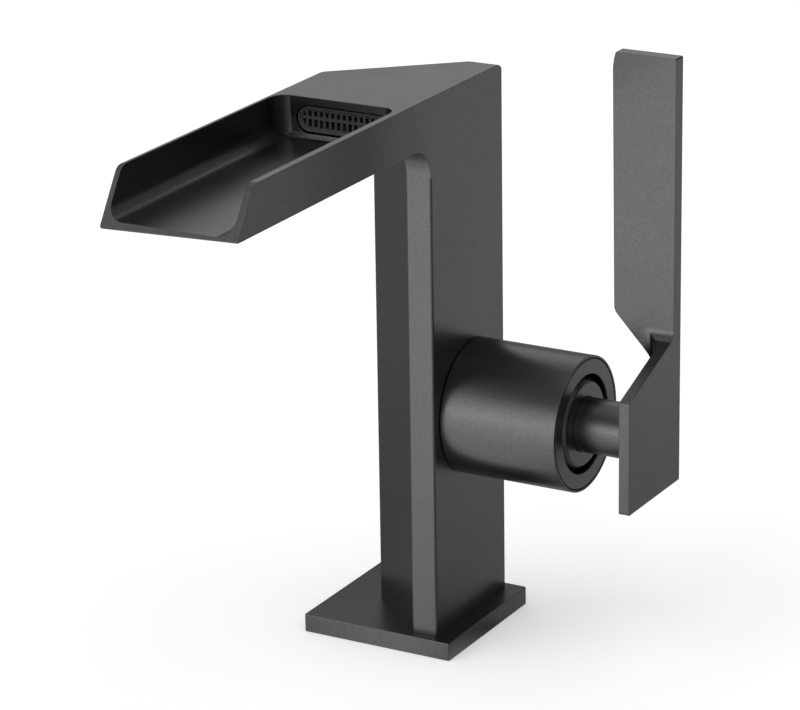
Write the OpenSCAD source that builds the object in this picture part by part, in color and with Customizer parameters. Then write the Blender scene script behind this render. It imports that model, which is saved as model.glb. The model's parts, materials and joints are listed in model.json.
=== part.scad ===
// Single lever basin mixer with an open waterfall spout and a side lever.
// The deck is the plane z = 0, the spout points to -Y and the lever is on the +X side.

/* [Base plate] */
// Side of the square base plate
plate_side = 50.4; // [48:0.2:60]
// Thickness of the base plate
plate_h = 5.7; // [5:0.1:8]
// Radius of the base plate's upright corners
plate_corner_r = 0.6; // [0.3:0.1:3]

/* [Column] */
// Distance from the plate's centre to the column's right face
column_right = 19.45; // [19:0.05:22]
// Distance from the plate's centre to the column's left edge
column_left = 12.3; // [11.5:0.1:16]
// Depth of the column from front to back
column_depth = 44.6; // [43:0.2:48]
// How far the left edge stands in front of the plate's centre
left_edge_set = 0.6; // [0:0.1:3]
// Width of the flat strip at the front
front_strip_w = 8.1; // [5:0.1:12]
// Width of the flat strip at the back
back_strip_w = 6; // [4:0.1:10]
// Radius of the column's upright edges
column_edge_r = 0.8; // [0.3:0.1:1.5]
// Radius of the fillet between the front strip and the spout
throat_r = 10; // [4:0.5:16]

/* [Spout] */
// Height of the spout's top above the deck
body_h = 173.7; // [160:0.1:190]
// Distance from the plate's centre to the lip
spout_reach = 128.1; // [105:0.1:150]
// Width of the spout
spout_w = 43.5; // [43:0.1:52]
// Height of the spout at its right side
spout_h = 14.15; // [13.4:0.05:18]
// Sideways slope of the spout's underside in degrees
under_roll = 1.9; // [0:0.1:3]
// How far the front face leans back from the lip to the top
lip_lean = 9.1; // [2:0.1:14]
// Radius of the front top corners of the walls
nose_r = 4.5; // [1:0.5:7]
// Radius of the spout's upright edge at the back left
spout_edge_r = 6.5; // [0.5:0.1:8]
// Radius of the spout's long outer edges on the left
spout_rim_r = 0.9; // [0.3:0.1:1.4]
// Radius of the spout's top edge at the back
top_back_r = 3.6; // [0.5:0.1:6]

/* [Trough] */
// Distance from the plate's centre to the trough's back wall
trough_back = 36.8; // [34:0.1:45]
// Thickness of the left wall
left_wall = 1.6; // [1.5:0.1:4]
// Thickness of the right wall
right_wall = 2.2; // [1.5:0.1:4]
// Thickness of the floor at the right of the lip
lip_t = 0.7; // [0.6:0.05:2]
// Height that the floor falls from the back wall to the lip
floor_fall = 1; // [0:0.1:2]
// Radius between the floor and the left wall
floor_r = 4.5; // [2:0.1:6]
// Radius between the floor and the right wall
floor_right_r = 5.5; // [2:0.1:6]
// Radius of the trough's upright back corners
back_corner_r = 5.2; // [1:0.1:6]

/* [Outlet] */
// Width of the outlet frame
outlet_w = 30.4; // [24:0.1:32]
// Height of the outlet frame
outlet_h = 7.6; // [6:0.1:8]
// Distance from the plate's centre to the outlet's centre, to the left
outlet_left = 1.15; // [0:0.05:3]
// Height of the outlet's centre above the spout's underside
outlet_rise = 7.45; // [7:0.05:8]
// Width of the frame's rim
outlet_rim = 1.1; // [1:0.05:2]
// Number of columns of holes in the grille
grille_columns = 15; // [6:1:16]
// Width of the grille's upright bars
grille_bar = 0.75; // [0.4:0.05:1]

/* [Cartridge housing] */
// Height of the lever's axis above the deck
axis_z = 72.6; // [55:0.1:120]
// Distance of the lever's axis behind the plate's centre
axis_y = 1.6; // [-1:0.1:2]
// Outer radius of the sleeve
sleeve_r = 20.65; // [20.3:0.05:21.5]
// Length of the sleeve that shows
sleeve_l = 38; // [37.6:0.1:39]
// Radius of the hole in the end ring
ring_hole_r = 15.15; // [14.4:0.05:15.8]

/* [Lever] */
// Radius of the stem
stem_r = 8.3; // [7.6:0.1:8.8]
// Radius of the flat face of the disc round the stem
stem_disc_r = 12.6; // [11:0.05:13]
// Distance from the end ring's face to the lever plate
stem_gap = 19.3; // [12:0.05:26]
// Thickness of the lever plate
lever_t = 3.3; // [2.8:0.1:5]
// Width of the lever plate
lever_w = 34.2; // [28:0.1:40]
// Distance from the lever's axis down to its bottom edge
lever_drop = 19.3; // [14:0.1:24]
// Distance from the lever's axis up to the plate's front top corner
lever_front_rise = 15.3; // [11:0.1:18]
// Slope of the plate's top edge in degrees
lever_slope = 20.4; // [10:0.2:26]
// Height of the blade's top above the lever's axis
blade_rise = 110.9; // [80:0.1:130]
// Width of the blade at its top
blade_w = 20.2; // [14:0.1:24]
// How much narrower the blade is at its bottom
blade_taper = 0.7; // [0:0.1:3]
// Thickness of the blade
blade_t = 4.6; // [3:0.1:6]
// Slope of the blade's bottom edge in degrees
blade_slope = 47; // [40:0.5:60]
// Radius of the long curve at the top of the blade's left edge
blade_top_r = 17; // [8:0.5:30]
// How far that curve brings the left edge in at the very top
blade_top_in = 0.9; // [0.2:0.1:2]
// Radius of the blade's lower left corner
blade_low_r = 4; // [1:0.1:10]
// Radius of the upright fillet in the lever's inner corner
lever_fillet_r = 6.5; // [4:0.1:7.5]
// Radius of the fillet between the plate's top edge and the blade
top_fillet_r = 3.6; // [1:0.1:5]

/* [Motion] */
// Angle that the lever lifts outward from closed to full flow
lift_max = 20; // [10:1:20]

/* [Hidden] */

// Colours
finish = "#5a5c5e";
brass = "#c2a25a";
plastic = "#e4e2da";
rubber = "#26282a";
ceramic = "#f2f0ea";
steel = "#b9bcc0";
mesh_plastic = "#3a3c3e";

// Faces on a full circle, faces on a rounded corner and the overrun of a cut
$fn = 96;
corner_steps = 12;
over = 1;

// Fits between pieces
running_fit = 0.05;
slip_fit = 0.1;
loose_fit = 0.3;

// Column in plan
column_front = -column_depth / 2;
column_back = column_depth / 2;
left_edge = [-column_left, -left_edge_set];
front_strip_end = [column_right - front_strip_w, column_front];
back_strip_end = [column_right - back_strip_w, column_back];
column_plan = [[column_right, column_front], front_strip_end, left_edge, back_strip_end,
               [column_right, column_back]];

// Spout: the back plane is the column's own back plane, carried on to the left side
under_z = body_h - spout_h;
spout_left = column_right - spout_w;
under_left_z = under_z - spout_w * tan(under_roll);
lean_rate = lip_lean / spout_h;
lip_y = -spout_reach;
back_rate = (back_strip_end[1] - left_edge[1]) / (back_strip_end[0] - left_edge[0]);
spout_back_left = left_edge[1] + (spout_left - left_edge[0]) * back_rate;
join_h = 2;

// Trough
floor_lip_z = under_z + lip_t;
floor_back_z = floor_lip_z + floor_fall;
trough_l = spout_reach - trough_back;
floor_angle = atan(floor_fall / trough_l);
trough_left_x = spout_left + left_wall;
trough_right_x = column_right - right_wall;
floor_back_r = 2.4;

// Outlet pocket in the trough's back wall
outlet_x = -outlet_left;
outlet_z = under_z + outlet_rise;
outlet_recess = 0.3;
seam_gap = 0.45;
ridge_w = 0.5;
ridge_h = 0.3;
rim_depth = 3;
frame_depth = 8;
gasket_t = 1;
gasket_rim = 1.1;
chamber_depth = 4;
feed_inset = 0.1;
window_w = outlet_w - 2 * outlet_rim;
window_h = outlet_h - 2 * outlet_rim;
grille_recess = 0.5;
grille_t = 1.2;
grille_rim = 0.25;
grille_row_bar = 0.8;
grille_bar_rise = 0.35;
straightener_t = 3;
straightener_bar = 0.6;
straightener_pitch = 1.5;
straightener_set = 0.6;
pocket_front_y = -trough_back;
rim_back_y = pocket_front_y + rim_depth;
frame_back_y = rim_back_y + frame_depth - rim_depth;
gasket_back_y = frame_back_y + gasket_t;
chamber_back_y = gasket_back_y + chamber_depth;
frame_front_y = pocket_front_y + outlet_recess;

// Base
spigot_r = 16;
spigot_x = 1.5;
spigot_inset = 1.2;
seal_inner_r = 19.5;
seal_w = 3;
seal_t = 2;
stud_x = -4;
stud_y = -0.4;
stud_hole_r = 3.4;
stud_depth = 16;
inlet_x = 7;
inlet_spread = 7.5;
inlet_hole_r = 4.5;
inlet_depth = 12;

// Waterways
channel_r = 2.5;
riser_x = 0;
riser_r = 3.2;
inlet_port_rise = 4.5;
outlet_port_drop = 8;
inlet_port_z = axis_z + inlet_port_rise;
outlet_port_z = axis_z - outlet_port_drop;

// Cartridge, set out from its seat along the lever's axis
seat_set = 1.95;
seal_proud = 0.4;
base_flange_t = 2;
base_plug_t = 3;
disc_t = 3.2;
disc_gap = 0.05;
carrier_t = 6.65;
flange_gap = 0.3;
flange_t = 2.3;
case_wall_t = 1.6;
case_neck_l = 6.5;
rotor_proud = 1.6;
rotor_oring_set = 2.4;
seat_x = column_right - seat_set;
base_x = seat_x + seal_proud;
case_x = base_x + base_flange_t;
fixed_disc_x = case_x + base_plug_t;
moving_disc_x = fixed_disc_x + disc_t + disc_gap;
carrier_x = moving_disc_x + disc_t;
carrier_end_x = carrier_x + carrier_t;
flange_x = carrier_end_x + flange_gap;
flange_end_x = flange_x + flange_t;
case_wall_x = flange_end_x + flange_gap;
case_shoulder_x = case_wall_x + case_wall_t;
case_end_x = case_shoulder_x + case_neck_l;
rotor_end_x = case_end_x + rotor_proud;
case_r = 17.45;
case_bore_r = 15.2;
case_neck_r = 13.9;
rotor_flange_r = 14.9;
rotor_neck_r = 10.95;
base_plug_r = case_bore_r - running_fit;
fixed_disc_r = case_bore_r - loose_fit;
moving_disc_r = 11.2;
carrier_r = 11;
carrier_flat = 10;
lug_t = 2.4;
lug_gap = 0.3;
lug_end_gap = 0.5;
lug_half_h = 6;
port_r = 2.6;
seal_outer_r = 4.2;
seal_recess = 1.2;
oring_d = 1.4;
rotor_oring_x = case_shoulder_x + rotor_oring_set;

// Pivot and spindle
pivot_set = 2.1;
pivot_x = rotor_end_x - pivot_set;
pin_r = 1.5;
pin_l = 20.6;
arm_l = 12;
arm_r = 2.4;
ball_r = 2.9;
socket_r = ball_r + loose_fit;
spindle_side = 8.6;
spindle_inner_l = 4;
spindle_outer_l = 21.5;
slot_half = arm_l * sin(lift_max) + ball_r + loose_fit;
slot_w = spindle_side + 2 * loose_fit;
slide_travel = arm_l * lift_max * PI / 180;
slide_start = -slide_travel / 2;

// Valve openings of the moving disc
pocket_depth = 1.7;
pocket_outlet_r = 4;
pocket_top = 1.4;
pocket_half_w = 9;
pocket_h = 4.4;

// Housing on the column's right face
cartridge_bore_r = case_r + slip_fit;
nut_r = 18.2;
nut_inner_r = case_neck_r + loose_fit;
nut_l = 6;
nut_slots = 6;
nut_slot_w = 3;
nut_slot_depth = 2;
thread_bore_r = nut_r + slip_fit;
boss_r = 19.45;
boss_end_x = case_end_x;
sleeve_bore_r = boss_r + slip_fit;
sleeve_seam = 0.15;
sleeve_x = column_right + sleeve_seam;
sleeve_end_x = column_right + sleeve_l + sleeve_seam / 2;
ring_rim = 0.7;
ring_seam = 0.1;
ring_groove_w = 0.35;
ring_groove_depth = 0.8;
ring_t = 2.4;
ring_set = 0.1;
land_t = 1.35;
ring_cavity_r = 17.2;
ring_seat_r = sleeve_r - ring_rim;
ring_r = ring_seat_r - ring_seam;
ring_face_r = ring_seat_r - ring_groove_w;
ring_end_x = sleeve_end_x - ring_set;
ring_x = ring_end_x - ring_t;
sleeve_oring_d = 1;
sleeve_oring_set = 8;
sleeve_oring_x = column_right + sleeve_oring_set;

// Lever
lever_inner_x = sleeve_end_x + stem_gap;
lever_outer_x = lever_inner_x + lever_t;
stem_set = 6;
stem_x = pivot_x + stem_set;
stem_disc_t = 4.7;
stem_disc_end_x = sleeve_end_x;
stem_disc_x = stem_disc_end_x - stem_disc_t;
stem_disc_ball_r = norm([stem_disc_end_x - pivot_x, stem_disc_r]);
stem_spigot_r = 5;
stem_spigot_l = 1.6;
socket_end_gap = 0.5;
spindle_end_x = pivot_x + spindle_outer_l;
stem_socket_end = spindle_end_x + socket_end_gap;
socket_side = spindle_side + 2 * running_fit;
screw_r = 2.5;
screw_recess = 0.5;
screw_set = 6;
screw_x = spindle_end_x - screw_set;
screw_hex_r = 1.45;
screw_hex_depth = 1.8;
lever_front_y = axis_y - lever_w / 2;
lever_back_y = axis_y + lever_w / 2;
lever_bottom_z = axis_z - lever_drop;
lever_front_z = axis_z + lever_front_rise;
blade_top_z = axis_z + blade_rise;
blade_front_y = lever_back_y - blade_t;
slope_rate = tan(lever_slope);
lever_joint_z = lever_front_z + (blade_front_y - lever_front_y) * slope_rate;
blade_left_top_x = lever_outer_x - blade_w;
blade_left_low_x = blade_left_top_x + blade_taper;
blade_foot_drop = 0.3;
blade_foot_z = lever_front_z - blade_foot_drop;
blade_low_z = blade_foot_z + (lever_inner_x - blade_left_low_x) * tan(blade_slope);
lever_edge_r = 0.5;

function unit(v) = v / norm(v);

// Angle of a direction, brought within half a turn of a start angle
function near_angle(v, start) =
    let (raw = atan2(v[1], v[0]))
    raw - start > 180 ? raw - 360 : raw - start < -180 ? raw + 360 : raw;

// Points of the arc that rounds corner p between its neighbours a and b
function round_corner(a, p, b, r) =
    let (
        u = unit(a - p),
        v = unit(b - p),
        half = acos(u * v) / 2,
        reach = r / tan(half),
        centre = p + unit(u + v) * r / sin(half),
        from = p + u * reach - centre,
        start = atan2(from[1], from[0]),
        end = near_angle(p + v * reach - centre, start)
    )
    [for (i = [0:corner_steps])
        let (t = start + (end - start) * i / corner_steps)
        centre + r * [cos(t), sin(t)]];

// Outline of a convex shape, drawn in by a distance all round
function inset(points, d) =
    let (n = len(points))
    [for (i = [0:n - 1])
        let (
            u = unit(points[(i + n - 1) % n] - points[i]),
            v = unit(points[(i + 1) % n] - points[i]),
            half = acos(u * v) / 2
        )
        points[i] + unit(u + v) * d / sin(half)];

// Outline with each corner rounded to its own radius, where zero leaves it sharp
function rounded(points, radii) =
    let (n = len(points))
    [for (i = [0:n - 1])
        each radii[i] == 0 ? [points[i]]
            : round_corner(points[(i + n - 1) % n], points[i], points[(i + 1) % n], radii[i])];

// Places a shape drawn about Z on the lever's axis, starting at x and pointing right
module on_axis(x) {
    translate([x, axis_y, axis_z])
        rotate([0, 90, 0])
            children();
}

// Round bar along the lever's axis from x0 to x1
module bar(x0, x1, r) {
    on_axis(x0)
        cylinder(h = x1 - x0, r = r);
}

// Ring along the lever's axis
module ring(x0, x1, outer_r, inner_r) {
    difference() {
        bar(x0, x1, outer_r);
        bar(x0 - over, x1 + over, inner_r);
    }
}

// Ring of round section about the lever's axis, with its middle at x
module oring(x, outer_r, d) {
    on_axis(x)
        rotate_extrude()
            translate([outer_r - d / 2, 0])
                circle(d = d);
}

// Extrudes an outline drawn in Y and Z to the right, from x0 to x1
module extrude_right(x0, x1) {
    translate([x0, 0, 0])
        rotate([90, 0, 90])
            linear_extrude(x1 - x0)
                children();
}

// Extrudes an outline drawn in X and Z to the back, from y0 to y1
module extrude_back(y0, y1) {
    translate([0, y1, 0])
        rotate([90, 0, 0])
            linear_extrude(y1 - y0)
                children();
}

// Outline with round ends, lying across the page
module oblong(w, h) {
    square([w - h, h], center = true);
    for (side = [-1, 1])
        translate([side * (w - h) / 2, 0])
            circle(d = h);
}

// Oblong prism at the outlet's centre from y0 back to y1
module outlet_block(w, h, y0, y1) {
    extrude_back(y0, y1)
        translate([outlet_x, outlet_z])
            oblong(w, h);
}

// Wedge column with a flat strip at the front and back
module column() {
    translate([0, 0, plate_h])
        linear_extrude(under_z + join_h - plate_h)
            polygon(rounded(column_plan, [for (p = column_plan) column_edge_r]));
}

// Wedge spigot below the column, grown by a fit where it is a hole
module spigot(h, fit) {
    linear_extrude(h)
        intersection() {
            polygon(inset(column_plan, spigot_inset - fit));
            translate([spigot_x, 0])
                circle(r = spigot_r + fit);
        }
}

// Solid head of the spout: side outline, section and plan meet
module spout_block() {
    low_lip_y = lip_y - (under_z - under_left_z) * lean_rate;
    side = [[low_lip_y, under_left_z], [lip_y + lip_lean, body_h], [column_back, body_h],
            [column_back, under_left_z]];
    section = [[spout_left, under_left_z], [column_right, under_z], [column_right, body_h],
               [spout_left, body_h]];
    plan = [[column_right, low_lip_y - over], [spout_left, low_lip_y - over],
            [spout_left, spout_back_left], back_strip_end, [column_right, column_back]];
    intersection() {
        extrude_right(spout_left, column_right)
            polygon(rounded(side, [0, nose_r, top_back_r, 0]));
        extrude_back(low_lip_y - over, column_back + over)
            polygon(rounded(section, [spout_rim_r, 0, 0, spout_rim_r]));
        linear_extrude(body_h)
            polygon(rounded(plan, [0, 0, spout_edge_r, column_edge_r, column_edge_r]));
    }
}

// Fillet between the front strip and the spout's underside
module throat() {
    extrude_right(front_strip_end[0], column_right)
        difference() {
            translate([column_front - throat_r, under_z - throat_r])
                square([throat_r + join_h, throat_r + join_h]);
            translate([column_front - throat_r, under_z - throat_r])
                circle(r = throat_r);
        }
}

// Open water channel with rounded floor edges, falling to the lip
module trough_space() {
    run = trough_l + lip_lean;
    wall_h = body_h - floor_lip_z + over;
    section = [[trough_left_x, wall_h], [trough_left_x, 0], [trough_right_x, 0], [trough_right_x, wall_h]];
    plan = [[trough_left_x, lip_y - lip_lean - over], [trough_left_x, pocket_front_y],
            [trough_right_x, pocket_front_y], [trough_right_x, lip_y - lip_lean - over]];
    side = [[lip_y - lip_lean - over, body_h + over], [pocket_front_y, body_h + over],
            [pocket_front_y, floor_back_z],
            [lip_y - lip_lean - over, floor_lip_z - (lip_lean + over) * tan(floor_angle)]];
    intersection() {
        translate([0, pocket_front_y, floor_back_z])
            rotate([90 + floor_angle, 0, 0])
                linear_extrude(run + over)
                    polygon(rounded(section, [0, floor_r, floor_right_r, 0]));
        linear_extrude(body_h + over)
            polygon(rounded(plan, [0, back_corner_r, back_corner_r, 0]));
        extrude_right(spout_left, column_right)
            polygon(rounded(side, [0, 0, floor_back_r, 0]));
    }
}

// Pocket of the outlet insert, the chamber behind it and the channel that feeds it
module outlet_space() {
    outlet_block(outlet_w + 2 * seam_gap, outlet_h + 2 * seam_gap, pocket_front_y - over, gasket_back_y);
    outlet_block(window_w, window_h, gasket_back_y - over, chamber_back_y);
    translate([riser_x, chamber_back_y - over, outlet_z])
        rotate([-90, 0, 0])
            cylinder(h = axis_y - chamber_back_y + over, r = window_h / 2 - feed_inset);
}

// Bores for the hoses, the fixing stud and the water
module waterways() {
    for (side = [-1, 1]) {
        translate([inlet_x, side * inlet_spread, -over]) {
            cylinder(h = inlet_depth + over, r = inlet_hole_r);
            cylinder(h = inlet_port_z + channel_r + over, r = channel_r);
        }
        translate([inlet_x, axis_y + side * inlet_spread, inlet_port_z])
            rotate([0, 90, 0])
                cylinder(h = seat_x - inlet_x + over, r = channel_r);
    }
    translate([stud_x, stud_y, -over])
        cylinder(h = stud_depth + over, r = stud_hole_r);
    translate([riser_x, axis_y, outlet_port_z])
        rotate([0, 90, 0])
            cylinder(h = seat_x - riser_x + over, r = channel_r);
    translate([riser_x, axis_y, outlet_port_z - channel_r])
        cylinder(h = outlet_z - outlet_port_z + channel_r, r = riser_r);
}

// Round boss that holds the cartridge
module boss() {
    bar(column_right - join_h, boss_end_x, boss_r);
}

// Bore for the cartridge, thread bore for its nut and groove for the sleeve's O-ring
module boss_space() {
    bar(seat_x, boss_end_x + over, cartridge_bore_r);
    bar(case_shoulder_x - over, boss_end_x + over, thread_bore_r);
    ring(sleeve_oring_x - sleeve_oring_d / 2, sleeve_oring_x + sleeve_oring_d / 2, boss_r + over,
         sleeve_bore_r - sleeve_oring_d);
}

module faucet_body() {
    color(finish)
        difference() {
            union() {
                column();
                spout_block();
                throat();
                boss();
                spigot(plate_h + join_h, 0);
            }
            trough_space();
            outlet_space();
            waterways();
            boss_space();
        }
}

module base_plate() {
    half = plate_side / 2;
    square_plan = [[-half, -half], [half, -half], [half, half], [-half, half]];
    color(finish)
        difference() {
            linear_extrude(plate_h)
                polygon(rounded(square_plan, [for (p = square_plan) plate_corner_r]));
            translate([0, 0, -over])
                spigot(plate_h + 2 * over, running_fit);
            translate([0, 0, -over])
                difference() {
                    cylinder(h = seal_t + over, r = seal_inner_r + seal_w);
                    cylinder(h = seal_t + over, r = seal_inner_r);
                }
        }
}

module base_seal() {
    color(rubber)
        difference() {
            cylinder(h = seal_t, r = seal_inner_r + seal_w);
            translate([0, 0, -over])
                cylinder(h = seal_t + 2 * over, r = seal_inner_r);
        }
}

// Cover tube over the boss, stepped at its end for the ring
module cartridge_sleeve() {
    color(finish)
        difference() {
            bar(sleeve_x, sleeve_end_x, sleeve_r);
            bar(sleeve_x - over, sleeve_end_x, sleeve_bore_r);
            bar(ring_x, sleeve_end_x + over, ring_seat_r);
        }
}

// Flat end ring with a narrow groove round its face
module sleeve_ring() {
    color(finish)
        difference() {
            union() {
                bar(ring_x, ring_end_x - ring_groove_depth, ring_r);
                bar(ring_x, ring_end_x, ring_face_r);
            }
            bar(ring_x - over, ring_end_x + over, ring_hole_r);
            bar(ring_x - over, ring_end_x - land_t, ring_cavity_r);
        }
}

module sleeve_oring() {
    color(rubber)
        oring(sleeve_oring_x, sleeve_bore_r, sleeve_oring_d);
}

// Threaded ring with slots for a pin spanner
module retaining_nut() {
    nut_end_x = case_shoulder_x + nut_l;
    color(brass)
        difference() {
            ring(case_shoulder_x, nut_end_x, nut_r, nut_inner_r);
            for (i = [0:nut_slots - 1])
                on_axis(nut_end_x - nut_slot_depth)
                    rotate([0, 0, i * 360 / nut_slots])
                        translate([nut_inner_r - over, -nut_slot_w / 2, 0])
                            cube([nut_r - nut_inner_r, nut_slot_w, nut_slot_depth + over]);
        }
}

module cartridge_case() {
    color(plastic)
        difference() {
            union() {
                bar(case_x, case_shoulder_x, case_r);
                bar(case_shoulder_x - over, case_end_x, case_neck_r);
            }
            bar(case_x - over, case_wall_x, case_bore_r);
            bar(case_wall_x - over, case_end_x + over, rotor_neck_r + running_fit);
        }
}

// Places children at the two inlet ports and the outlet port of the cartridge
module at_ports(x) {
    for (side = [-1, 1])
        translate([x, axis_y + side * inlet_spread, inlet_port_z])
            rotate([0, 90, 0])
                children();
    translate([x, axis_y, outlet_port_z])
        rotate([0, 90, 0])
            children();
}

module cartridge_base() {
    color(plastic)
        difference() {
            union() {
                bar(base_x, case_x, case_r);
                bar(case_x - over, fixed_disc_x, base_plug_r);
            }
            at_ports(base_x - over)
                cylinder(h = fixed_disc_x - base_x + 2 * over, r = port_r);
            at_ports(base_x - over)
                cylinder(h = seal_recess + over, r = seal_outer_r);
        }
}

module port_seals() {
    color(rubber)
        at_ports(seat_x)
            difference() {
                cylinder(h = seal_proud + seal_recess, r = seal_outer_r);
                translate([0, 0, -over])
                    cylinder(h = seal_proud + seal_recess + 2 * over, r = port_r);
            }
}

module fixed_disc() {
    color(ceramic)
        difference() {
            bar(fixed_disc_x, fixed_disc_x + disc_t, fixed_disc_r);
            at_ports(fixed_disc_x - over)
                cylinder(h = disc_t + 2 * over, r = port_r);
        }
}

// Sliding valve disc with the pocket that joins the ports when it moves up
module moving_disc() {
    color(ceramic)
        difference() {
            translate([0, 0, slide_start])
                bar(moving_disc_x, carrier_x, moving_disc_r);
            translate([moving_disc_x - over, axis_y, outlet_port_z])
                rotate([0, 90, 0])
                    cylinder(h = pocket_depth + over, r = pocket_outlet_r);
            translate([moving_disc_x - over, axis_y - pocket_outlet_r, outlet_port_z])
                cube([pocket_depth + over, 2 * pocket_outlet_r, outlet_port_drop + pocket_top]);
            translate([moving_disc_x - over, axis_y - pocket_half_w, axis_z + pocket_top - pocket_h])
                cube([pocket_depth + over, 2 * pocket_half_w, pocket_h]);
        }
}

// Carrier that holds the moving disc, with flats for the rotor's lugs and a socket for the ball
module disc_carrier() {
    side_cut = carrier_r - carrier_flat;
    color(plastic)
        difference() {
            translate([0, 0, slide_start])
                bar(carrier_x, carrier_end_x, carrier_r);
            for (side = [-1, 1])
                translate([carrier_x - over, axis_y + side * (carrier_flat + side_cut) - side_cut,
                           axis_z - 2 * carrier_r])
                    cube([carrier_t + 2 * over, 2 * side_cut, 4 * carrier_r]);
            bar(carrier_end_x - socket_r - arm_r, carrier_end_x + over, socket_r);
        }
}

// Turning part with a slot for the spindle and two lugs that guide the carrier
module cartridge_rotor() {
    lug_y = carrier_flat + lug_gap;
    color(plastic)
        difference() {
            union() {
                bar(flange_x, flange_end_x, rotor_flange_r);
                bar(flange_end_x - over, rotor_end_x, rotor_neck_r);
                for (side = [-1, 1])
                    translate([carrier_x + lug_end_gap, axis_y + side * (lug_y + lug_t / 2) - lug_t / 2,
                               axis_z - lug_half_h])
                        cube([flange_x - carrier_x, lug_t, 2 * lug_half_h]);
            }
            translate([flange_x - over, axis_y - slot_w / 2, axis_z - slot_half])
                cube([rotor_end_x - flange_x + 2 * over, slot_w, 2 * slot_half]);
            translate([pivot_x, axis_y - rotor_neck_r - over, axis_z])
                rotate([-90, 0, 0])
                    cylinder(h = 2 * (rotor_neck_r + over), r = pin_r);
            ring(rotor_oring_x - oring_d / 2, rotor_oring_x + oring_d / 2, rotor_neck_r + over,
                 rotor_neck_r - oring_d);
        }
}

module rotor_oring() {
    color(rubber)
        oring(rotor_oring_x, rotor_neck_r, oring_d);
}

module pivot_pin() {
    color(steel)
        translate([pivot_x, axis_y - pin_l / 2, axis_z])
            rotate([-90, 0, 0])
                cylinder(h = pin_l, r = pin_r);
}

// Rocking spindle: a square bar over the pin, a round arm and a ball below it
module spindle() {
    color(steel)
        difference() {
            union() {
                translate([pivot_x - spindle_inner_l, axis_y - spindle_side / 2, axis_z - spindle_side / 2])
                    cube([spindle_inner_l + spindle_outer_l, spindle_side, spindle_side]);
                bar(pivot_x - arm_l, pivot_x - spindle_inner_l + over, arm_r);
                translate([pivot_x - arm_l, axis_y, axis_z])
                    sphere(r = ball_r);
            }
            translate([pivot_x, axis_y - spindle_side, axis_z])
                rotate([-90, 0, 0])
                    cylinder(h = 2 * spindle_side, r = pin_r + running_fit);
        }
}

// Hollow stem with a square socket for the spindle and a tapped hole for the grub screw
module lever_stem() {
    color(finish)
        difference() {
            union() {
                bar(stem_x, lever_inner_x, stem_r);
                bar(lever_inner_x - over, lever_inner_x + stem_spigot_l, stem_spigot_r);
            }
            translate([stem_x - over, axis_y - socket_side / 2, axis_z - socket_side / 2])
                cube([stem_socket_end - stem_x + over, socket_side, socket_side]);
            translate([screw_x, axis_y, axis_z - stem_r - over])
                cylinder(h = stem_r + over, r = screw_r);
        }
}

// Disc whose rim is part of a ball about the pivot, so that its gap stays as the lever tilts
module stem_disc() {
    color(finish)
        difference() {
            intersection() {
                on_axis(pivot_x)
                    sphere(r = stem_disc_ball_r);
                bar(stem_disc_x, stem_disc_end_x, stem_disc_ball_r + over);
            }
            bar(stem_disc_x - over, stem_disc_end_x + over, stem_r);
        }
}

// Grub screw with a hexagon socket, driven from below
module set_screw() {
    screw_low_z = axis_z - stem_r + screw_recess;
    color(steel)
        difference() {
            translate([screw_x, axis_y, screw_low_z])
                cylinder(h = axis_z - spindle_side / 2 - screw_low_z, r = screw_r);
            translate([screw_x, axis_y, screw_low_z - over])
                cylinder(h = screw_hex_depth + over, r = screw_hex_r, $fn = 6);
        }
}

// Side outline of the sloping top edge, from the blade's back over the fillet to front_y
function plate_top(front_y) =
    let (
        corner = [blade_front_y, lever_joint_z],
        slope_dir = [cos(lever_slope), sin(lever_slope)],
        arc = round_corner(corner + [0, 1], corner, corner - slope_dir, top_fillet_r)
    )
    concat([[lever_back_y, arc[0][1]]], arc,
           [[front_y, lever_joint_z - (blade_front_y - front_y) * slope_rate]]);

// Lower plate of the lever, with its sloping top edge and the fillet up to the blade
module lever_plate() {
    top = plate_top(lever_front_y);
    outline = concat([[lever_front_y, lever_bottom_z], [lever_back_y, lever_bottom_z]], top);
    radii = concat([lever_edge_r, lever_edge_r], [for (i = [1:len(top) - 1]) 0], [lever_edge_r]);
    extrude_right(lever_inner_x, lever_outer_x)
        polygon(rounded(outline, radii));
}

// Upright blade at the back of the plate, whose left edge curves in at the top
module lever_blade() {
    turn = acos(1 - blade_top_in / blade_top_r);
    centre = [blade_left_top_x + blade_top_r, blade_top_z - blade_top_r * sin(turn)];
    curve = [for (i = [0:corner_steps])
                let (angle = 180 - turn * (1 - i / corner_steps))
                centre + blade_top_r * [cos(angle), sin(angle)]];
    outline = concat([[lever_outer_x, axis_z], [lever_outer_x, blade_top_z]], curve,
                     [[blade_left_low_x, blade_low_z], [lever_inner_x, blade_foot_z], [lever_inner_x, axis_z]]);
    radii = concat([0, lever_edge_r], [for (p = curve) 0], [blade_low_r, 0, 0]);
    extrude_back(blade_front_y, lever_back_y)
        polygon(rounded(outline, radii));
}

// Upright fillet in the inner corner, under the same sloping top and top fillet as the plate
module lever_fillet() {
    r = lever_fillet_r;
    inner = [lever_inner_x - r, blade_front_y - r];
    intersection() {
        translate([0, 0, lever_bottom_z])
            linear_extrude(blade_low_z - lever_bottom_z)
                difference() {
                    translate(inner)
                        square([r + lever_t / 2, r + blade_t / 2]);
                    translate(inner)
                        circle(r = r);
                }
        extrude_right(lever_inner_x - r, lever_outer_x)
            polygon(concat([[blade_front_y - r, lever_bottom_z], [lever_back_y, lever_bottom_z]],
                           plate_top(blade_front_y - r)));
        extrude_back(blade_front_y - r, lever_back_y)
            polygon([[lever_inner_x, blade_foot_z], [lever_inner_x - r, blade_foot_z + r * tan(blade_slope)],
                     [lever_inner_x - r, blade_low_z], [lever_outer_x, blade_low_z],
                     [lever_outer_x, blade_foot_z]]);
    }
}

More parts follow.
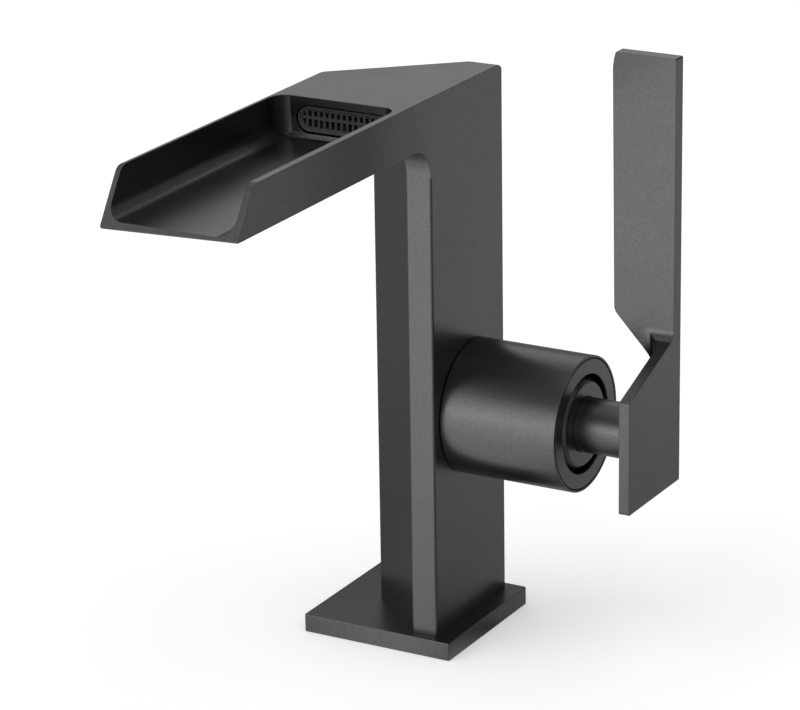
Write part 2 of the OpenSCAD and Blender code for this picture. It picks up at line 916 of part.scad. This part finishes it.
module lever_handle() {
    color(finish)
        difference() {
            union() {
                lever_plate();
                lever_blade();
                lever_fillet();
            }
            bar(lever_inner_x - over, lever_inner_x + stem_spigot_l, stem_spigot_r);
        }
}

// Insert frame: a slim ridged rim in front and a body that fills the pocket behind it
module outlet_frame() {
    color(mesh_plastic)
        difference() {
            union() {
                outlet_block(outlet_w, outlet_h, frame_front_y, frame_back_y);
                outlet_block(outlet_w + 2 * seam_gap, outlet_h + 2 * seam_gap, rim_back_y, frame_back_y);
            }
            outlet_block(outlet_w - 2 * ridge_w, outlet_h - 2 * ridge_w, frame_front_y - over,
                         frame_front_y + ridge_h);
            outlet_block(window_w, window_h, frame_front_y - over, frame_back_y + over);
        }
}

// Front grille: two rows of near square holes, with the bar between them above the middle
module outlet_grille() {
    front_y = frame_front_y + grille_recess;
    pitch = (window_w - 2 * grille_rim + grille_bar) / grille_columns;
    hole_w = pitch - grille_bar;
    half_h = window_h / 2 - grille_rim;
    bar_low = grille_bar_rise - grille_row_bar / 2;
    bar_high = grille_bar_rise + grille_row_bar / 2;
    color(mesh_plastic)
        difference() {
            outlet_block(window_w, window_h, front_y, front_y + grille_t);
            intersection() {
                outlet_block(window_w - 2 * grille_rim, window_h - 2 * grille_rim, front_y - over,
                             front_y + grille_t + over);
                for (i = [0:grille_columns - 1])
                    for (row = [[-half_h, bar_low], [bar_high, half_h]])
                        translate([outlet_x + (i - (grille_columns - 1) / 2) * pitch - hole_w / 2,
                                   front_y - over, outlet_z + row[0]])
                            cube([hole_w, grille_t + 2 * over, row[1] - row[0]]);
            }
        }
}

// Slotted block behind the grille that calms the flow
module flow_straightener() {
    front_y = frame_front_y + grille_recess + grille_t + straightener_set;
    slots = floor((window_w - window_h) / straightener_pitch);
    slot_w = straightener_pitch - straightener_bar;
    color(mesh_plastic)
        difference() {
            outlet_block(window_w, window_h, front_y, front_y + straightener_t);
            for (i = [0:slots - 1])
                translate([outlet_x + (i - (slots - 1) / 2) * straightener_pitch - slot_w / 2,
                           front_y - over, outlet_z - window_h / 2 + straightener_bar])
                    cube([slot_w, straightener_t + 2 * over, window_h - 2 * straightener_bar]);
        }
}

module outlet_gasket() {
    color(rubber)
        difference() {
            outlet_block(outlet_w + 2 * seam_gap, outlet_h + 2 * seam_gap, frame_back_y, gasket_back_y);
            outlet_block(outlet_w - 2 * gasket_rim, outlet_h - 2 * gasket_rim, frame_back_y - over,
                         gasket_back_y + over);
        }
}

faucet_body();
base_plate();
base_seal();
cartridge_sleeve();
sleeve_ring();
sleeve_oring();
retaining_nut();
cartridge_case();
cartridge_base();
port_seals();
fixed_disc();
moving_disc();
disc_carrier();
cartridge_rotor();
rotor_oring();
pivot_pin();
spindle();
lever_stem();
stem_disc();
set_screw();
lever_handle();
outlet_frame();
outlet_grille();
flow_straightener();
outlet_gasket();
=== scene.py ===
"""Looks of the waterfall basin faucet on its CAD frame: finishes, edges, floor, light and camera."""

import json
import math

import bpy
from mathutils import Matrix, Vector

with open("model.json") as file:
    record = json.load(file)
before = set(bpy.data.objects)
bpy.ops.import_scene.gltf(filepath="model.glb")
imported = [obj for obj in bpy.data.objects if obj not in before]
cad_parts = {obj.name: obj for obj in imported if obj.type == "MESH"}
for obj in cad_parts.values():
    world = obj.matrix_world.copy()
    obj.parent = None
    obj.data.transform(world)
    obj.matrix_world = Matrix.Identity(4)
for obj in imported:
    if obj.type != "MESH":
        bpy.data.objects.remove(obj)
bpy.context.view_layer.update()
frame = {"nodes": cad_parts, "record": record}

MM = 0.001
BLACK = (0.0, 0.0, 0.0)
WHITE = (1.0, 1.0, 1.0)

# Camera of the photograph, in metres and degrees
CAMERA_PLACE = (0.52706, -0.93716, 0.457868)
CAMERA_YAW = 29.557
CAMERA_PITCH = 19.087
CAMERA_ROLL = -0.906
CAMERA_FOCAL_PX = 3771.7
PHOTO_WIDTH_PX = 800
SENSOR_MM = 36

# Bevels on the sharp edges of the CAD nodes in view, where zero cuts none
ROUNDINGS = {
    "faucet_body": 0,
    "base_plate": 0.3 * MM,
    "cartridge_sleeve": 0.2 * MM,
    "sleeve_ring": 0.08 * MM,
    "stem_disc": 0.3 * MM,
    "lever_stem": 0.15 * MM,
    "lever_handle": 0,
    "outlet_frame": 0.1 * MM,
    "outlet_grille": 0,
}
ROUNDING_STEPS = 3
ROUNDED_ABOVE = math.radians(35)
SMOOTH_BELOW = math.radians(32)
FLAT_WITHIN = math.radians(0.2)
WELD_WITHIN = 0.001 * MM

# Within this distance of an edge, gunmetal shades as if the edge were round
EDGE_SOFTNESS = 0.3 * MM
EDGE_SAMPLES = 6

# Relief of the fine grain on plating, plastic, rubber and ceramic
GRAIN_STRENGTH = 0.5

# Gunmetal plating
PLATING_DARK = (0.159, 0.159, 0.159)
PLATING_LIGHT = (0.197, 0.197, 0.197)
PLATING_CLOUD = (0.175, 0.175, 0.175)
PLATING_CLOUD_SHARE = 0.3
PLATING_ROUGHNESS = (0.28, 0.33)
PLATING_GRAIN = 0.8 * MM
PLATING_GRAIN_DEPTH = 0.004 * MM
PLATING_CLOUD_SIZE = 22 * MM
PLATING_DETAIL = 3.0

# Moulded and ceramic pieces
MOULDED_ROUGHNESS_SPREAD = 0.06
MOULDED_GRAIN_DEPTH = 0.02 * MM

# Turned pieces, whose grain is finest along X, as lathe marks round the lever's axis are
TURNED_LINE = 0.3 * MM
TURNED_STRETCH = (6, 1, 1)
TURNED_DEPTH = 0.01 * MM
TURNED_STRENGTH = 0.4
TURNED_SMOOTHER = 0.05
TURNED_ROUGHER = 0.08

# Floor, world and lamps, where a glow or fill of 1 is white
FLOOR_SIZE = 8
FLOOR_DROP = 0.05 * MM
FLOOR_COLOUR = (0.8, 0.8, 0.8)
FLOOR_ROUGHNESS = 0.9
FLOOR_GLOW = 0.32
WORLD_FILL = 0.55
LAMP_WIDTH = math.radians(50)
# Each lamp's azimuth and elevation in degrees, and its strength
LAMPS = {
    "lamp_front": (245, 50, 1.0),
    "lamp_right": (350, 60, 0.5),
}

# Cards that the metal mirrors, each an even grey with soft spots round SPOTS_FROM.
# A spot is its azimuth and elevation in degrees, its narrowness and its glow.
# The back card stands upright behind the object, for the faces on top.
CARD_REACH = 2.0
CARD_SIDES = 64
CARD_RINGS = 32
SPOTS_FROM = (0.018, 0.008, 0)
SURROUND_GREY = 0.15
SURROUND_SPOTS = ((248, 0, 2.5, 0.6), (247, 5, 20, 0.8), (150, 80, 8, 0.47))
FLOOR_CARD_DROP = 0.02 * MM
FLOOR_CARD_GREY = 0.18
FLOOR_CARD_SPOTS = ((250, 0, 3, 0.8), (45, 0, 3, 0.2), (100, 0, 6, 0.26))
# Painted shade on the floor card near the object, given as a reach and a share: the glow starts at
# the share of itself and is whole at the reach
FLOOR_CARD_PAINTED_SHADE_REACH = 0.3
FLOOR_CARD_PAINTED_SHADE_SHARE = 0.62
BACK_CARD_SIZE = (0.5, 0.36)
BACK_CARD_PLACE = (-0.225, 0.39, 0.43)
BACK_CARD_GLOW = 0.66


class Shader:
    """Builds one material node by node, with helpers for the nodes used here."""

    def __init__(self, name):
        self.material = bpy.data.materials.new(name)
        self.material.use_nodes = True
        self.tree = self.material.node_tree
        self.surface = self.tree.nodes["Principled BSDF"]
        self.place = self.tree.nodes.new("ShaderNodeTexCoord").outputs["Object"]

    def add(self, kind, **settings):
        node = self.tree.nodes.new(kind)
        for key, value in settings.items():
            setattr(node, key, value)
        return node

    def wire(self, source, socket):
        self.tree.links.new(source, socket)

    def noise(self, size, detail=2.0, stretch=None):
        """Noise around 0.5 whose features are size metres across."""
        place = self.place
        if stretch:
            mapping = self.add("ShaderNodeMapping")
            mapping.inputs["Scale"].default_value = stretch
            self.wire(place, mapping.inputs["Vector"])
            place = mapping.outputs["Vector"]
        node = self.add("ShaderNodeTexNoise")
        node.inputs["Scale"].default_value = 1 / size
        node.inputs["Detail"].default_value = detail
        self.wire(place, node.inputs["Vector"])
        return node.outputs["Fac"]

    def spread(self, source, low, high, start=0.3, end=0.7):
        """Carries a value from start..end to low..high, held at both ends."""
        node = self.add("ShaderNodeMapRange", clamp=True)
        node.inputs["From Min"].default_value = start
        node.inputs["From Max"].default_value = end
        node.inputs["To Min"].default_value = low
        node.inputs["To Max"].default_value = high
        self.wire(source, node.inputs["Value"])
        return node.outputs["Result"]

    def math(self, operation, a, b):
        """Sum, product or other operation of two values, each a number or a socket."""
        node = self.add("ShaderNodeMath", operation=operation)
        for socket, value in zip(node.inputs, (a, b)):
            if isinstance(value, (int, float)):
                socket.default_value = value
            else:
                self.wire(value, socket)
        return node.outputs["Value"]

    def vector_math(self, operation, source, other=None):
        """Vector operation on a socket, and on a fixed vector where the operation takes two."""
        node = self.add("ShaderNodeVectorMath", operation=operation)
        self.wire(source, node.inputs[0])
        if other is not None:
            node.inputs[1].default_value = other
        return node.outputs

    def mix(self, share, first, second):
        """Colour between first and second, by a share that is a socket."""
        node = self.add("ShaderNodeMix", data_type="RGBA")
        self.wire(share, node.inputs["Factor"])
        for name, value in (("A", first), ("B", second)):
            socket = [s for s in node.inputs if s.name == name and s.type == "RGBA"][0]
            if isinstance(value, tuple):
                socket.default_value = (*value, 1)
            else:
                self.wire(value, socket)
        return [s for s in node.outputs if s.type == "RGBA"][0]

    def bump(self, height, distance, strength, under=None):
        """Normal of a relief of that distance, on top of another normal if one is given."""
        node = self.add("ShaderNodeBump")
        node.inputs["Distance"].default_value = distance
        node.inputs["Strength"].default_value = strength
        self.wire(height, node.inputs["Height"])
        if under is not None:
            self.wire(under, node.inputs["Normal"])
        return node.outputs["Normal"]

    def soft_edges(self, radius):
        """Normal that turns smoothly across each edge, within a radius of it."""
        node = self.add("ShaderNodeBevel", samples=EDGE_SAMPLES)
        node.inputs["Radius"].default_value = radius
        return node.outputs["Normal"]

    def set(self, **values):
        """Sets the shader's sockets, named with _ for a space, to a number, a colour or a socket."""
        for key, value in values.items():
            socket = self.surface.inputs[key.replace("_", " ")]
            if isinstance(value, bpy.types.NodeSocket):
                self.wire(value, socket)
            elif isinstance(value, tuple):
                socket.default_value = (*value, 1)
            else:
                socket.default_value = value
        return self.material


def gunmetal():
    """Satin gunmetal plating: dark grey metal with a very fine grain and faint clouding."""
    s = Shader("gunmetal")
    grain = s.noise(PLATING_GRAIN, detail=PLATING_DETAIL)
    cloud = s.noise(PLATING_CLOUD_SIZE, detail=PLATING_DETAIL)
    fine = s.mix(s.spread(grain, 0, 1), PLATING_DARK, PLATING_LIGHT)
    return s.set(
        Base_Color=s.mix(s.spread(cloud, 0, PLATING_CLOUD_SHARE), fine, PLATING_CLOUD),
        Roughness=s.spread(cloud, *PLATING_ROUGHNESS),
        Metallic=1.0,
        Normal=s.bump(grain, PLATING_GRAIN_DEPTH, GRAIN_STRENGTH, under=s.soft_edges(EDGE_SOFTNESS)),
    )


def moulded(name, dark, light, roughness, grain_size):
    """Moulded plastic, rubber or ceramic with a fine grain."""
    s = Shader(name)
    grain = s.noise(grain_size)
    smoother = roughness - MOULDED_ROUGHNESS_SPREAD
    rougher = roughness + MOULDED_ROUGHNESS_SPREAD
    return s.set(
        Base_Color=s.mix(s.spread(grain, 0, 1), dark, light),
        Roughness=s.spread(grain, smoother, rougher),
        Normal=s.bump(grain, MOULDED_GRAIN_DEPTH, GRAIN_STRENGTH),
    )


def turned_metal(name, dark, light, roughness):
    """Machined metal with fine marks round the lever's axis."""
    s = Shader(name)
    lines = s.noise(TURNED_LINE, stretch=TURNED_STRETCH)
    return s.set(
        Base_Color=s.mix(s.spread(lines, 0, 1), dark, light),
        Roughness=s.spread(lines, roughness - TURNED_SMOOTHER, roughness + TURNED_ROUGHER),
        Metallic=1.0,
        Normal=s.bump(lines, TURNED_DEPTH, TURNED_STRENGTH),
    )


def make_materials():
    """One material for each of the record's slots.

    A moulded slot's row is its dark and light colour, roughness and grain size.
    """
    finishes = {
        "gunmetal": gunmetal(),
        "brass": turned_metal("brass", (0.52, 0.4, 0.2), (0.68, 0.55, 0.3), 0.32),
        "steel": turned_metal("steel", (0.42, 0.42, 0.42), (0.56, 0.56, 0.56), 0.28),
    }
    moulded_slots = {
        "cartridge_plastic": ((0.7, 0.69, 0.65), (0.78, 0.77, 0.73), 0.45, 0.5 * MM),
        "seal_rubber": ((0.016, 0.016, 0.018), (0.026, 0.026, 0.028), 0.62, 0.3 * MM),
        "disc_ceramic": ((0.83, 0.81, 0.77), (0.88, 0.86, 0.82), 0.18, 0.2 * MM),
        "outlet_plastic": ((0.055, 0.056, 0.057), (0.073, 0.074, 0.076), 0.42, 0.3 * MM),
    }
    for slot, (dark, light, roughness, grain_size) in moulded_slots.items():
        finishes[slot] = moulded(slot, dark, light, roughness, grain_size)
    return finishes


def smooth_group():
    """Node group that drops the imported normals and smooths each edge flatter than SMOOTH_BELOW."""
    group = bpy.data.node_groups.new("smooth_flat_edges", "GeometryNodeTree")
    group.interface.new_socket("Geometry", in_out="INPUT", socket_type="NodeSocketGeometry")
    group.interface.new_socket("Geometry", in_out="OUTPUT", socket_type="NodeSocketGeometry")
    taken = group.nodes.new("NodeGroupInput").outputs[0]
    given = group.nodes.new("NodeGroupOutput").inputs[0]
    drop = group.nodes.new("GeometryNodeRemoveAttribute")
    drop.inputs["Name"].default_value = "custom_normal"
    faces = group.nodes.new("GeometryNodeSetShadeSmooth")
    faces.domain = "FACE"
    edges = group.nodes.new("GeometryNodeSetShadeSmooth")
    edges.domain = "EDGE"
    edges.inputs["Shade Smooth"].default_value = False
    angle = group.nodes.new("GeometryNodeInputMeshEdgeAngle")
    sharp = group.nodes.new("FunctionNodeCompare")
    sharp.operation = "GREATER_THAN"
    sharp.inputs["B"].default_value = SMOOTH_BELOW
    group.links.new(taken, drop.inputs["Geometry"])
    group.links.new(drop.outputs["Geometry"], faces.inputs["Geometry"])
    group.links.new(faces.outputs["Geometry"], edges.inputs["Geometry"])
    group.links.new(angle.outputs["Unsigned Angle"], sharp.inputs["A"])
    group.links.new(sharp.outputs["Result"], edges.inputs["Selection"])
    group.links.new(edges.outputs["Geometry"], given)
    return group


def round_edges(node, width, smooth):
    """Rounds a CAD node's sharp edges by modifiers, and keeps its flat faces flat."""
    weld = node.modifiers.new("weld", "WELD")
    weld.merge_threshold = WELD_WITHIN
    join = node.modifiers.new("join", "DECIMATE")
    join.decimate_type = "DISSOLVE"
    join.angle_limit = FLAT_WITHIN
    if width:
        bevel = node.modifiers.new("bevel", "BEVEL")
        bevel.limit_method = "ANGLE"
        bevel.angle_limit = ROUNDED_ABOVE
        bevel.width = width
        bevel.segments = ROUNDING_STEPS
        bevel.use_clamp_overlap = False
    shade = node.modifiers.new("smooth", "NODES")
    shade.node_group = smooth
    weigh = node.modifiers.new("weigh", "WEIGHTED_NORMAL")
    weigh.keep_sharp = True


def dress_nodes(materials):
    """Gives each CAD node its slot's material, and the nodes in view their roundings."""
    smooth = smooth_group()
    for part in frame["record"]["subparts"]:
        node = frame["nodes"][part["node"]]
        node.data.materials.clear()
        node.data.materials.append(materials[part["material_slot"]])
        if part["node"] in ROUNDINGS:
            round_edges(node, ROUNDINGS[part["node"]], smooth)


def make_floor():
    """Pale floor, white to the camera and in reflections, and darker where the object shades it."""
    bpy.ops.mesh.primitive_plane_add(size=FLOOR_SIZE, location=(0, 0, -FLOOR_DROP))
    floor = bpy.context.object
    floor.name = "floor"
    s = Shader("floor")
    seen = s.add("ShaderNodeLightPath").outputs
    shown = s.math("MAXIMUM", seen["Is Camera Ray"], seen["Is Glossy Ray"])
    shown = s.math("MAXIMUM", shown, seen["Is Transmission Ray"])
    s.set(
        Base_Color=FLOOR_COLOUR,
        Roughness=FLOOR_ROUGHNESS,
        Specular_IOR_Level=0.0,
        Emission_Color=WHITE,
        Emission_Strength=s.math("MULTIPLY", shown, FLOOR_GLOW),
    )
    floor.data.materials.append(s.material)


def toward(azimuth, elevation):
    """Unit vector in a direction given in degrees; azimuth 0 is +X and 90 is +Y."""
    turn = math.radians(azimuth)
    rise = math.radians(elevation)
    return (math.cos(turn) * math.cos(rise), math.sin(turn) * math.cos(rise), math.sin(rise))


def card_finish(name, grey, spots, painted_shade_reach=None):
    """Glow of a card: an even grey and soft bright spots.

    With a reach of painted shade, the glow is painted darker near SPOTS_FROM, as painted shade of
    the object on the floor: it starts at FLOOR_CARD_PAINTED_SHADE_SHARE of itself, and is whole at
    that distance.
    """
    s = Shader(name)
    position = s.add("ShaderNodeNewGeometry").outputs["Position"]
    place = s.vector_math("SUBTRACT", position, SPOTS_FROM)["Vector"]
    outward = s.vector_math("NORMALIZE", place)["Vector"]
    glow = grey
    for azimuth, elevation, narrowness, brightness in spots:
        facing = s.vector_math("DOT_PRODUCT", outward, toward(azimuth, elevation))["Value"]
        spot = s.math("POWER", s.math("MAXIMUM", facing, 0.0), narrowness)
        glow = s.math("ADD", s.math("MULTIPLY", spot, brightness), glow)
    # Painted shade: the glow is darker near the object, standing in for the object's shadow on the
    # floor
    if painted_shade_reach:
        away = s.vector_math("LENGTH", place)["Value"]
        share = s.spread(away, FLOOR_CARD_PAINTED_SHADE_SHARE, 1.0, start=0.0, end=painted_shade_reach)
        glow = s.math("MULTIPLY", glow, share)
    return s.set(
        Base_Color=BLACK,
        Specular_IOR_Level=0.0,
        Emission_Color=WHITE,
        Emission_Strength=glow,
    )


def add_card(name, finish):
    """Makes a card of the mesh just added, which only glossy rays see."""
    card = bpy.context.object
    card.name = name
    card.data.materials.append(finish)
    card.visible_camera = False
    card.visible_diffuse = False
    card.visible_transmission = False
    card.visible_shadow = False
    return card


def make_cards():
    """Sets grey and white cards round the object, as a studio does for metal."""
    bpy.ops.mesh.primitive_uv_sphere_add(
        segments=CARD_SIDES,
        ring_count=CARD_RINGS,
        radius=CARD_REACH,
    )
    add_card("surround_card", card_finish("surround_card", SURROUND_GREY, SURROUND_SPOTS))

    bpy.ops.mesh.primitive_circle_add(
        vertices=CARD_SIDES,
        radius=CARD_REACH,
        fill_type="NGON",
        location=(0, 0, -FLOOR_CARD_DROP),
    )
    finish = card_finish("floor_card", FLOOR_CARD_GREY, FLOOR_CARD_SPOTS, FLOOR_CARD_PAINTED_SHADE_REACH)
    add_card("floor_card", finish)

    bpy.ops.mesh.primitive_plane_add(size=1, location=BACK_CARD_PLACE)
    card = add_card("back_card", card_finish("back_card", BACK_CARD_GLOW, ()))
    card.scale = (*BACK_CARD_SIZE, 1)
    outward = Vector(BACK_CARD_PLACE) * Vector((1, 1, 0))
    card.rotation_euler = outward.to_track_quat("Z", "Y").to_euler()


def make_light():
    """Wide, soft and even lamps that show in no reflection."""
    for name, (azimuth, elevation, strength) in LAMPS.items():
        data = bpy.data.lights.new(name, "SUN")
        data.energy = strength
        data.angle = LAMP_WIDTH
        lamp = bpy.data.objects.new(name, data)
        bpy.context.scene.collection.objects.link(lamp)
        lamp.rotation_euler = Vector(toward(azimuth, elevation)).to_track_quat("Z", "Y").to_euler()
        lamp.visible_glossy = False


def make_world():
    """White to the camera and in reflections, and a soft fill for everything else."""
    world = bpy.data.worlds.new("studio")
    world.use_nodes = True
    tree = world.node_tree
    seen = tree.nodes.new("ShaderNodeLightPath").outputs
    shown = seen["Is Camera Ray"]
    for ray in ("Is Glossy Ray", "Is Transmission Ray"):
        either = tree.nodes.new("ShaderNodeMath")
        either.operation = "MAXIMUM"
        tree.links.new(shown, either.inputs[0])
        tree.links.new(seen[ray], either.inputs[1])
        shown = either.outputs["Value"]
    strength = tree.nodes.new("ShaderNodeMapRange")
    strength.inputs["To Min"].default_value = WORLD_FILL
    strength.inputs["To Max"].default_value = 1.0
    tree.links.new(shown, strength.inputs["Value"])
    tree.links.new(strength.outputs["Result"], tree.nodes["Background"].inputs["Strength"])
    tree.nodes["Background"].inputs["Color"].default_value = (*WHITE, 1)
    bpy.context.scene.world = world


def make_camera():
    """Camera at the photograph's place, angle and frame."""
    data = bpy.data.cameras.new("camera")
    data.sensor_width = SENSOR_MM
    data.lens = CAMERA_FOCAL_PX / PHOTO_WIDTH_PX * SENSOR_MM
    camera = bpy.data.objects.new("camera", data)
    bpy.context.scene.collection.objects.link(camera)
    turn = Matrix.Rotation(math.radians(CAMERA_YAW), 4, "Z")
    tilt = Matrix.Rotation(math.radians(90 - CAMERA_PITCH), 4, "X")
    roll = Matrix.Rotation(math.radians(CAMERA_ROLL), 4, "Z")
    camera.matrix_world = Matrix.Translation(CAMERA_PLACE) @ turn @ tilt @ roll
    bpy.context.scene.camera = camera


dress_nodes(make_materials())
make_floor()
make_cards()
make_light()
make_world()
make_camera()
bpy.context.scene.view_settings.view_transform = "Standard"
